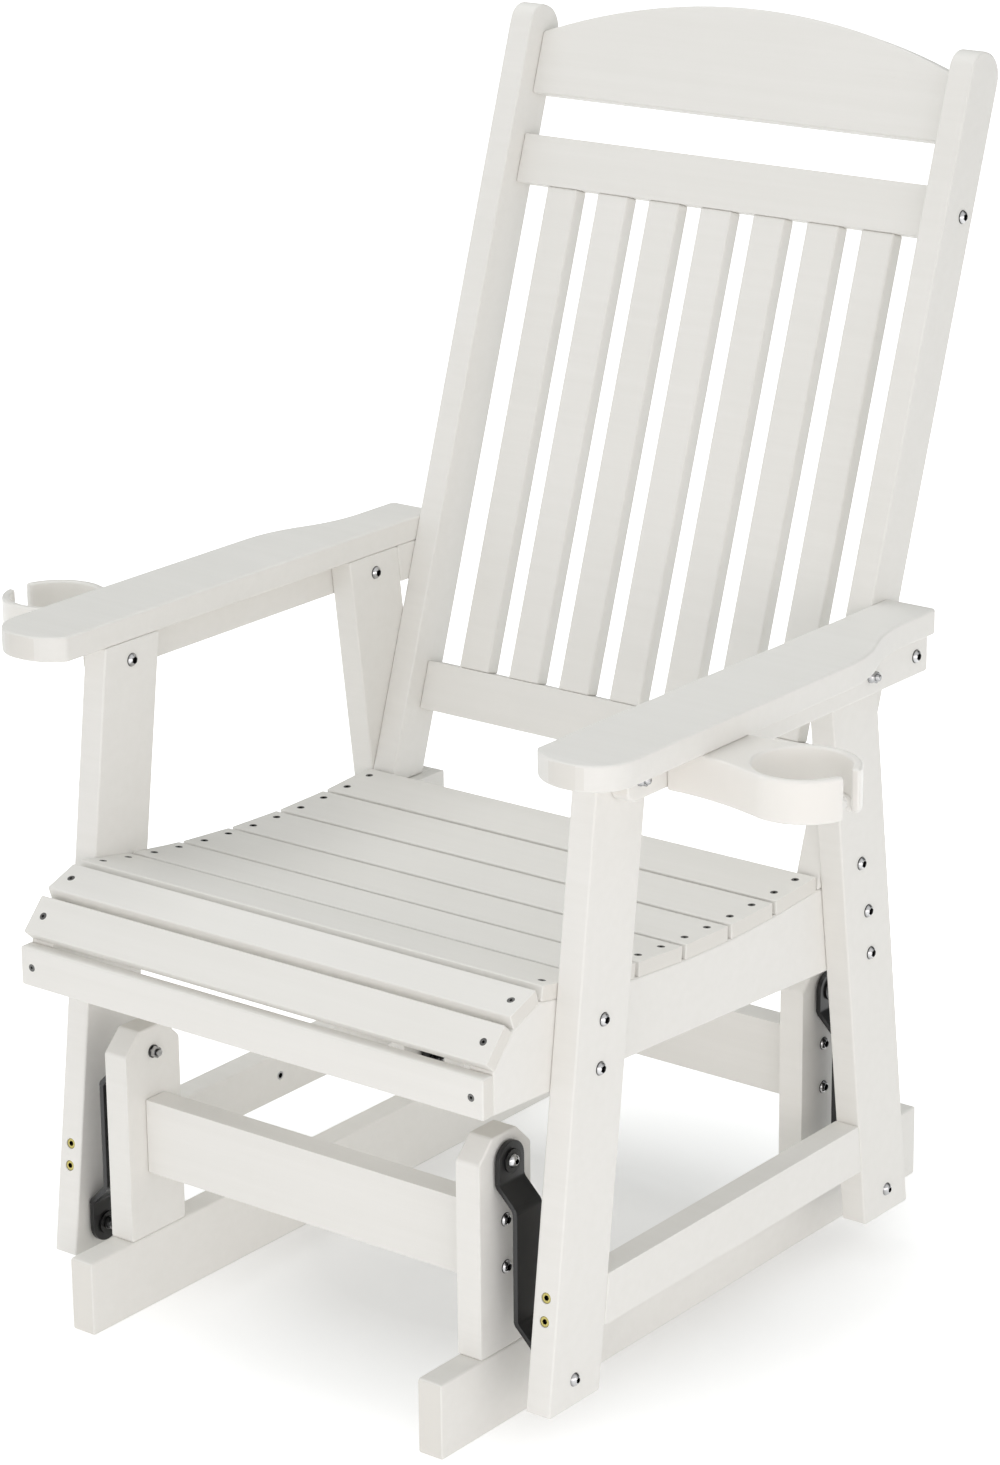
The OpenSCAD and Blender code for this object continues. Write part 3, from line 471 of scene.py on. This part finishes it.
def edge_group():
    """Node group that marks the long sharp edges, which the bevel then eases."""
    group = bpy.data.node_groups.new("mark_edges", "GeometryNodeTree")
    group.interface.new_socket("Geometry", in_out="INPUT", socket_type="NodeSocketGeometry")
    group.interface.new_socket("Geometry", in_out="OUTPUT", socket_type="NodeSocketGeometry")
    new = group.nodes.new
    link = group.links.new

    def above(value, limit):
        """True where a number is above a limit."""
        node = new("FunctionNodeCompare")
        node.data_type = "FLOAT"
        node.operation = "GREATER_THAN"
        node.inputs[1].default_value = limit
        link(value, node.inputs[0])
        return node.outputs["Result"]

    def combined(operation, first, second):
        """Two yes or no values made into one."""
        node = new("FunctionNodeBooleanMath")
        node.operation = operation
        link(first, node.inputs[0])
        link(second, node.inputs[1])
        return node.outputs["Boolean"]

    def stored(geometry, data_type, name, value):
        """Geometry with a value stored on its edges."""
        node = new("GeometryNodeStoreNamedAttribute")
        node.data_type = data_type
        node.domain = "EDGE"
        node.inputs["Name"].default_value = name
        link(geometry, node.inputs["Geometry"])
        link(value, node.inputs["Value"])
        return node.outputs["Geometry"]

    ends = new("GeometryNodeInputMeshEdgeVertices")
    length = new("ShaderNodeVectorMath")
    length.operation = "DISTANCE"
    link(ends.outputs["Position 1"], length.inputs[0])
    link(ends.outputs["Position 2"], length.inputs[1])
    angle = new("GeometryNodeInputMeshEdgeAngle")
    is_long = above(length.outputs["Value"], EASE_MIN_LENGTH)
    is_sharp = above(angle.outputs["Unsigned Angle"], EASE_MIN_ANGLE)
    drop = new("GeometryNodeRemoveAttribute")
    drop.inputs["Name"].default_value = "custom_normal"
    link(new("NodeGroupInput").outputs[0], drop.inputs["Geometry"])
    both = combined("AND", is_long, is_sharp)
    smooth = new("GeometryNodeSetShadeSmooth")
    link(stored(drop.outputs["Geometry"], "FLOAT", "bevel_weight_edge", both), smooth.inputs["Geometry"])
    short = combined("NIMPLY", is_sharp, is_long)
    creased = stored(smooth.outputs["Geometry"], "BOOLEAN", "sharp_edge", short)
    link(creased, new("NodeGroupOutput").inputs[0])
    return group


EDGES = edge_group()


def add_bevel(piece, name, method, width, segments):
    """Bevel modifier that isn't cut short where edges are near each other."""
    bevel = piece.modifiers.new(name, "BEVEL")
    bevel.limit_method = method
    bevel.width = width
    bevel.segments = segments
    bevel.use_clamp_overlap = False
    return bevel


def add_shading(piece):
    """Modifier that keeps the large faces flat to the eye."""
    shade = piece.modifiers.new("shade", "WEIGHTED_NORMAL")
    shade.weight = NORMAL_WEIGHT
    return shade


def ease(piece, width, segments, merge_flat=False):
    """Rounds the piece's long edges with modifiers, and leaves its mesh as it is."""
    weld = piece.modifiers.new("weld", "WELD")
    weld.merge_threshold = WELD_REACH
    if merge_flat:
        flat = piece.modifiers.new("merge_flat", "DECIMATE")
        flat.decimate_type = "DISSOLVE"
        flat.angle_limit = FLAT_ANGLE
    mark = piece.modifiers.new("mark_edges", "NODES")
    mark.node_group = EDGES
    add_bevel(piece, "ease", "WEIGHT", width, segments).miter_outer = "MITER_ARC"
    add_shading(piece).keep_sharp = True


def dress():
    """Gives every CAD piece its material, and eases the boards and straps."""
    for name, piece in NODES.items():
        slot = slot_of(name)
        material = BY_SLOT.get(slot) or board_for(name)
        piece.data.materials.clear()
        piece.data.materials.append(material)
        if slot == "board":
            is_slat = any(word in name for word in SLAT_WORDS)
            width = SLAT_EASE if is_slat else BOARD_EASE
            ease(piece, width, BOARD_SEGMENTS, name.endswith(MERGED_ENDINGS))
        elif slot == "strap":
            ease(piece, METAL_EASE, METAL_SEGMENTS)


dress()

# Cup holders, moulded with soft rims
CUP_BORE_R = 0.043
CUP_OUTER_R = 0.051
CUP_REACH = 0.117
CUP_SLOT_HALF = 0.011
CUP_LEDGE_R = 0.038
CUP_LEDGE_T = 0.004
NECK_HALF = 0.0335
NECK_SIDE_R = 0.300
RIM_ROUND = 0.0026
LEDGE_ROUND = 0.001
LEDGE_SINK = 0.0004
RIM_ANGLE = math.radians(40)
RIM_SEGMENTS = 4
RING_STEPS = 72
SIDE_STEPS = 24
NECK_STEPS = 12
END_STEPS = 4


def arc(centre, radius, start, end, steps):
    """Points of an arc between two angles in radians."""
    points = []
    for i in range(steps + 1):
        angle = start + (end - start) * i / steps
        points.append((centre[0] + radius * math.cos(angle), centre[1] + radius * math.sin(angle)))
    return points


def slot_angle(radius):
    """Angle at which the slot cuts a circle round the cup's middle."""
    return math.asin(CUP_SLOT_HALF / radius)


def bore_point(angle):
    """Point of the bore at an angle."""
    return (CUP_BORE_R * math.cos(angle), CUP_BORE_R * math.sin(angle))


def ring_loops(outer_r, inner_r):
    """Outer and inner points, in pairs, of a ring that a slot opens towards +X."""
    loops = []
    for radius in (outer_r, inner_r):
        gap = slot_angle(radius)
        loops.append(arc((0, 0), radius, gap, 2 * math.pi - gap, RING_STEPS))
    return loops


def neck_arc_centre():
    """Middle of the neck's side arc, which touches the ring and ends at the rail."""
    slope = NECK_HALF / CUP_REACH
    reach = CUP_OUTER_R + NECK_SIDE_R
    shift = (NECK_SIDE_R ** 2 - reach ** 2 - CUP_REACH ** 2 - NECK_HALF ** 2) / (2 * CUP_REACH)
    a = 1 + slope * slope
    b = 2 * slope * shift
    c = shift * shift - reach * reach
    y = (-b + math.sqrt(b * b - 4 * a * c)) / (2 * a)
    return slope * y + shift, y


def cup_loops():
    """Outer and bore points, in pairs, of the ring at the origin and its neck towards -X."""
    arc_x, arc_y = neck_arc_centre()
    rail_angle = math.atan2(NECK_HALF - arc_y, -CUP_REACH - arc_x)
    ring_angle = math.atan2(-arc_y, -arc_x)
    touch = math.atan2(arc_y, arc_x)
    ring = arc((0, 0), CUP_OUTER_R, slot_angle(CUP_OUTER_R), touch, SIDE_STEPS)
    bore = arc((0, 0), CUP_BORE_R, slot_angle(CUP_BORE_R), touch, SIDE_STEPS)
    for x, y in arc((arc_x, arc_y), NECK_SIDE_R, ring_angle, rail_angle, NECK_STEPS)[1:]:
        ring.append((x, y))
        bore.append(bore_point(math.atan2(y, x)))
    for i in range(END_STEPS - 1, 0, -1):
        y = NECK_HALF * i / END_STEPS
        ring.append((-CUP_REACH, y))
        bore.append(bore_point(math.atan2(y, -CUP_REACH)))
    loops = []
    for half, end_x in ((ring, -CUP_REACH), (bore, -CUP_BORE_R)):
        loops.append(half + [(end_x, 0.0)] + [(x, -y) for x, y in reversed(half)])
    return loops


def ribbon_solid(target, loops, place, low, high):
    """Adds the solid between two paired open loops to a bmesh."""
    rows = []
    for loop, level in ((loops[0], low), (loops[1], low), (loops[1], high), (loops[0], high)):
        rows.append([target.verts.new(place(x, y, level)) for x, y in loop])
    for i in range(len(loops[0]) - 1):
        for first, second in zip(rows, rows[1:] + rows[:1]):
            target.faces.new((first[i], first[i + 1], second[i + 1], second[i]))
    target.faces.new([row[0] for row in rows])
    target.faces.new([row[-1] for row in reversed(rows)])


def rounded_piece(name, loops, place, low, high, width):
    """Solid between two loops, with its sharp edges rounded."""
    shape = bmesh.new()
    ribbon_solid(shape, loops, place, low, high)
    bmesh.ops.recalc_face_normals(shape, faces=shape.faces)
    piece = object_of(name, shape)
    piece.data.shade_smooth()
    add_bevel(piece, "rim", "ANGLE", width, RIM_SEGMENTS).angle_limit = RIM_ANGLE
    add_shading(piece)
    return piece


def make_cup(side):
    """Shell and inner ledge of the cup holder on one side."""
    node = ("left" if side < 0 else "right") + "_cup_holder"
    low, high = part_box(node)
    rail_x = low.x if side > 0 else high.x
    middle_y = (low.y + high.y) / 2

    def place(x, y, z):
        """Point of the model for a point of the cup holder."""
        return (rail_x + side * (CUP_REACH + x), middle_y + y, low.z + z)

    height = high.z - low.z
    for part, loops, top, width in (
        ("shell", cup_loops(), height, RIM_ROUND),
        ("ledge", ring_loops(CUP_BORE_R + LEDGE_SINK, CUP_LEDGE_R), CUP_LEDGE_T, LEDGE_ROUND),
    ):
        piece = rounded_piece(f"{node}_{part}", loops, place, 0.0, top, width)
        piece.data.materials.append(CUP)
        if part == "shell":
            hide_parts(node)
        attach(piece, "seat")


for side in (-1, 1):
    make_cup(side)

# Screws of the seat slats, with a six-lobed recess in their heads
SCREW_STEPS = 24
RECESS_R = 0.00135
RECESS_WAVE = 0.0003
RECESS_LOBES = 6
RECESS_DEPTH = 0.0018
HEAD_EDGE = 0.0002
CAP_REACH = 0.0012
POINT_DIGITS = 6
CREASE_ANGLE = math.radians(35)


def loose_parts(source):
    """Groups of the points of an object's mesh that hang together, where they stand."""
    mesh = source.data
    near = {}
    for vertex in mesh.vertices:
        key = tuple(round(value, POINT_DIGITS) for value in vertex.co)
        near.setdefault(key, []).append(vertex.index)
    parent = list(range(len(mesh.vertices)))

    def root(i):
        """First point of the group that a point is in."""
        while parent[i] != i:
            parent[i] = parent[parent[i]]
            i = parent[i]
        return i

    for same in near.values():
        for i in same[1:]:
            parent[root(i)] = root(same[0])
    for edge in mesh.edges:
        parent[root(edge.vertices[0])] = root(edge.vertices[1])
    group = {}
    for vertex in mesh.vertices:
        group.setdefault(root(vertex.index), []).append(source.matrix_world @ vertex.co)
    return list(group.values())


def screw_axis(points):
    """Head's middle, direction out of the head, length, head radius and shank radius."""
    middle = sum(points, Vector()) / len(points)
    far_point = max(points, key=lambda p: (p - middle).length)
    other = max(points, key=lambda p: (p - far_point).length)
    rough = (far_point - other).normalized()
    ends = []
    for sign in (-1, 1):
        reach = max(sign * p.dot(rough) for p in points)
        cap = [p for p in points if sign * p.dot(rough) > reach - CAP_REACH]
        centre = sum(cap, Vector()) / len(cap)
        ends.append((max((p - centre).length for p in cap), centre))
    ends.sort(key=lambda end: end[0])
    (shank_r, tip), (head_r, head) = ends
    out = (head - tip).normalized()
    return head, out, (head - tip).length, head_r, shank_r


def add_screw(shape, points):
    """Adds a turned screw with its recess to a bmesh, where the CAD has a plain one."""
    head, out, length, head_r, shank_r = screw_axis(points)
    across = out.orthogonal().normalized()
    aside = out.cross(across)
    profile = (
        (None, -RECESS_DEPTH),
        (None, 0.0),
        (head_r - HEAD_EDGE, 0.0),
        (head_r, -HEAD_EDGE),
        (shank_r, -HEAD_EDGE - (head_r - shank_r)),
        (shank_r, -length),
    )
    rows = []
    for radius, level in profile:
        row = []
        for i in range(SCREW_STEPS):
            angle = 2 * math.pi * i / SCREW_STEPS
            reach = radius
            if radius is None:
                reach = RECESS_R + RECESS_WAVE * math.cos(RECESS_LOBES * angle)
            offset = math.cos(angle) * across + math.sin(angle) * aside
            row.append(shape.verts.new(head + reach * offset + level * out))
        rows.append(row)
    for low, high in zip(rows, rows[1:]):
        for i in range(SCREW_STEPS):
            k = (i + 1) % SCREW_STEPS
            shape.faces.new((low[i], low[k], high[k], high[i]))
    shape.faces.new(list(reversed(rows[0])))
    shape.faces.new(rows[-1])


def make_slat_screws():
    """All screws of the seat slats as one piece."""
    shape = bmesh.new()
    for points in loose_parts(NODES["slat_screws"]):
        add_screw(shape, points)
    bmesh.ops.recalc_face_normals(shape, faces=shape.faces)
    piece = object_of("recessed_slat_screws", shape)
    piece.data.shade_smooth()
    piece.data.set_sharp_from_angle(angle=CREASE_ANGLE)
    piece.data.materials.append(SCREW)
    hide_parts("slat_screws")
    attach(piece, "seat")


make_slat_screws()

# Hexagon sockets in the domed heads of the bolts, with walls in darker steel as painted shade
SOCKET_R = 0.0036
SOCKET_DEPTH = 0.0028
SOCKET_SIDES = 6
SOCKET_TURN = 0.3
CUTTER_ABOVE = 0.001
HEAD_MIN_R = 0.006
BOLT_MIN = 0.015
DOUBLES_REACH = 1e-6


def head_tops(source):
    """Top of each domed head in a node, and the sign of X out of it."""
    tops = []
    for points in loose_parts(source):
        low = Vector([min(p[k] for p in points) for k in range(3)])
        high = Vector([max(p[k] for p in points) for k in range(3)])
        middle = (low + high) / 2
        wide = [p.x for p in points if (p.yz - middle.yz).length > HEAD_MIN_R]
        if wide and high.x - low.x > BOLT_MIN:
            out = math.copysign(1, sum(wide) / len(wide) - middle.x)
            tops.append((Vector((high.x if out > 0 else low.x, middle.y, middle.z)), out))
    return tops


def socket_cutters(tops):
    """Hexagonal prisms that stand where the sockets are cut."""
    shape = bmesh.new()
    for top, out in tops:
        ends = []
        for reach in (-SOCKET_DEPTH, CUTTER_ABOVE):
            ring = []
            for i in range(SOCKET_SIDES):
                angle = 2 * math.pi * (i + SOCKET_TURN) / SOCKET_SIDES
                ring.append(shape.verts.new((
                    top.x + out * reach,
                    top.y + SOCKET_R * math.cos(angle),
                    top.z + SOCKET_R * math.sin(angle),
                )))
            ends.append(ring)
            shape.faces.new(ring)
        for i in range(SOCKET_SIDES):
            k = (i + 1) % SOCKET_SIDES
            shape.faces.new((ends[0][i], ends[0][k], ends[1][k], ends[1][i]))
    bmesh.ops.recalc_face_normals(shape, faces=shape.faces)
    cutters = object_of("cutters", shape)
    cutters.data.materials.append(PAINTED_SOCKET_SHADE)
    return cutters


def make_socketed(node, body):
    """The bolts of a node once more, with a socket cut into each domed head."""
    source = NODES[node]
    shape = bmesh.new()
    shape.from_mesh(source.data)
    shape.transform(source.matrix_world)
    bmesh.ops.remove_doubles(shape, verts=shape.verts, dist=DOUBLES_REACH)
    blank = object_of("blank", shape)
    blank.data.materials.append(STEEL)
    cutters = socket_cutters(head_tops(source))
    cut = blank.modifiers.new("sockets", "BOOLEAN")
    cut.operation = "DIFFERENCE"
    cut.solver = "EXACT"
    # The socket walls take the cutters' darker steel, painted shade
    cut.material_mode = "TRANSFER"
    cut.object = cutters
    graph = bpy.context.evaluated_depsgraph_get()
    mesh = bpy.data.meshes.new_from_object(blank.evaluated_get(graph))
    bpy.data.objects.remove(blank)
    bpy.data.objects.remove(cutters)
    mesh.shade_smooth()
    mesh.set_sharp_from_angle(angle=CREASE_ANGLE)
    piece = add_object(f"socketed_{node}", mesh)
    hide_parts(node)
    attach(piece, body)


for node, body in (("frame_bolts", "seat"), ("base_bolts", "base")):
    make_socketed(node, body)

# World: light on the object, and what mirrors and the camera see
WHITE = (1.0, 1.0, 1.0)
WORLD_LEVEL = 0.66
WORLD_TINT = (0.975, 1.0, 1.0, 1.0)
DARK_HEADING = (-0.35, 0.9, -0.25)
DARK_START = -0.1
DARK_END = 0.5
DARK_LEVEL = 0.04

# Floor: its glow to the camera grows from the chair outwards, a painted shadow near the chair that ends
# in an evenly white floor far out; its fill light fades outwards
FLOOR_SIZE = 60.0
FLOOR_COLOUR = (0.9, 0.9, 0.9, 1.0)
SHADOW_CENTRE = (0.0, 0.0, 0.0)
SHADOW_GLOW = 0.08
FAR_GLOW = 0.8
SHADOW_CORE_RADIUS = 0.2
SHADOW_EDGE_RADIUS = 0.68
FLOOR_FILL = 0.17
FILL_START = 0.6
FILL_END = 1.6

# Lamps: name, place, aim, width and height in metres, watts and tint
WARM = (1.0, 0.945, 0.94)
UNDER_LAMP = "under_lamp"
LAMPS = (
    ("front_lamp", (-1.2, -4.2, 0.8), (0, 0, 0.15), (3.4, 1.4), 12.5, WARM),
    ("low_front_lamp", (2.4, -3.1, 0.85), (0, 0, 0.25), (3.0, 1.4), 28.5, WARM),
    ("right_lamp", (4.4, -0.9, 1.15), (0, 0, 0.35), (3.2, 2.0), 21.5, WARM),
    ("top_lamp", (-1.5, 0.2, 4.2), (0, 0, 0.4), (2.6, 2.6), 39.0, WHITE),
    (UNDER_LAMP, (0, -0.1, 0.34), (0, -0.1, 0), (0.3, 0.3), 0.14, WHITE),
)


def seen_flag(tree):
    """1 for rays that show the background: camera, glossy and transmission rays."""
    path = tree.nodes.new("ShaderNodeLightPath")
    shown = do_math(tree, "MAXIMUM", path.outputs["Is Camera Ray"], path.outputs["Is Glossy Ray"])
    return do_math(tree, "MAXIMUM", shown, path.outputs["Is Transmission Ray"])


def make_world():
    """Even light, and a white surround that is darker behind and below for mirrors."""
    world = bpy.data.worlds.new("studio")
    bpy.context.scene.world = world
    world.use_nodes = True
    tree = world.node_tree
    tree.nodes.clear()
    lit = tree.nodes.new("ShaderNodeBackground")
    lit.inputs["Color"].default_value = WORLD_TINT
    lit.inputs["Strength"].default_value = WORLD_LEVEL
    seen = tree.nodes.new("ShaderNodeBackground")
    seen.inputs["Color"].default_value = (*WHITE, 1.0)
    heading = tree.nodes.new("ShaderNodeTexCoord").outputs["Generated"]
    away = do_vector(tree, "DOT_PRODUCT", heading, DARK_HEADING)
    mirrored = map_range(tree, away, 1.0, DARK_LEVEL, DARK_START, DARK_END)
    is_glossy = tree.nodes.new("ShaderNodeLightPath").outputs["Is Glossy Ray"]
    put(tree, seen.inputs["Strength"], mix_numbers(tree, is_glossy, 1.0, mirrored))
    mix = tree.nodes.new("ShaderNodeMixShader")
    out = tree.nodes.new("ShaderNodeOutputWorld")
    tree.links.new(seen_flag(tree), mix.inputs[0])
    tree.links.new(lit.outputs[0], mix.inputs[1])
    tree.links.new(seen.outputs[0], mix.inputs[2])
    tree.links.new(mix.outputs[0], out.inputs["Surface"])


def floor_material():
    """Pale matt floor with a glow, which rays that show the background see as white far out and lower
    near the chair as a painted shadow.
    """
    material = bpy.data.materials.new("floor")
    material.use_nodes = True
    tree = material.node_tree
    tree.nodes.clear()
    diffuse = tree.nodes.new("ShaderNodeBsdfDiffuse")
    diffuse.inputs["Color"].default_value = FLOOR_COLOUR
    glow = tree.nodes.new("ShaderNodeEmission")
    place = tree.nodes.new("ShaderNodeTexCoord").outputs["Object"]
    radius = do_vector(tree, "DISTANCE", place, SHADOW_CENTRE)
    # Painted shadow: the glow the camera sees is low near the chair and rises to white outwards
    level = map_range(tree, radius, SHADOW_GLOW, FAR_GLOW, SHADOW_CORE_RADIUS, SHADOW_EDGE_RADIUS)
    fill = map_range(tree, radius, FLOOR_FILL, 0.0, FILL_START, FILL_END)
    put(tree, glow.inputs["Strength"], mix_numbers(tree, seen_flag(tree), fill, level))
    add = tree.nodes.new("ShaderNodeAddShader")
    out = tree.nodes.new("ShaderNodeOutputMaterial")
    tree.links.new(diffuse.outputs[0], add.inputs[0])
    tree.links.new(glow.outputs[0], add.inputs[1])
    tree.links.new(add.outputs[0], out.inputs["Surface"])
    return material


def make_floor():
    """Large floor that keeps the object's shadow."""
    half = FLOOR_SIZE / 2
    corners = [(-half, -half, 0), (half, -half, 0), (half, half, 0), (-half, half, 0)]
    mesh = bpy.data.meshes.new("floor")
    mesh.from_pydata(corners, [], [(0, 1, 2, 3)])
    floor = add_object("floor", mesh)
    mesh.materials.append(floor_material())


def make_lamp(name, place, aim, size, power, tint):
    """Soft rectangular lamp that points at a place. The one under the seat isn't mirrored."""
    data = bpy.data.lights.new(name, "AREA")
    data.shape = "RECTANGLE"
    data.size, data.size_y = size
    data.energy = power
    data.color = tint
    lamp = add_object(name, data)
    lamp.location = place
    lamp.rotation_euler = (Vector(aim) - Vector(place)).to_track_quat("-Z", "Y").to_euler()
    lamp.visible_camera = False
    lamp.visible_glossy = name != UNDER_LAMP


bpy.context.scene.view_settings.view_transform = "Standard"
make_world()
make_floor()
for lamp in LAMPS:
    make_lamp(*lamp)
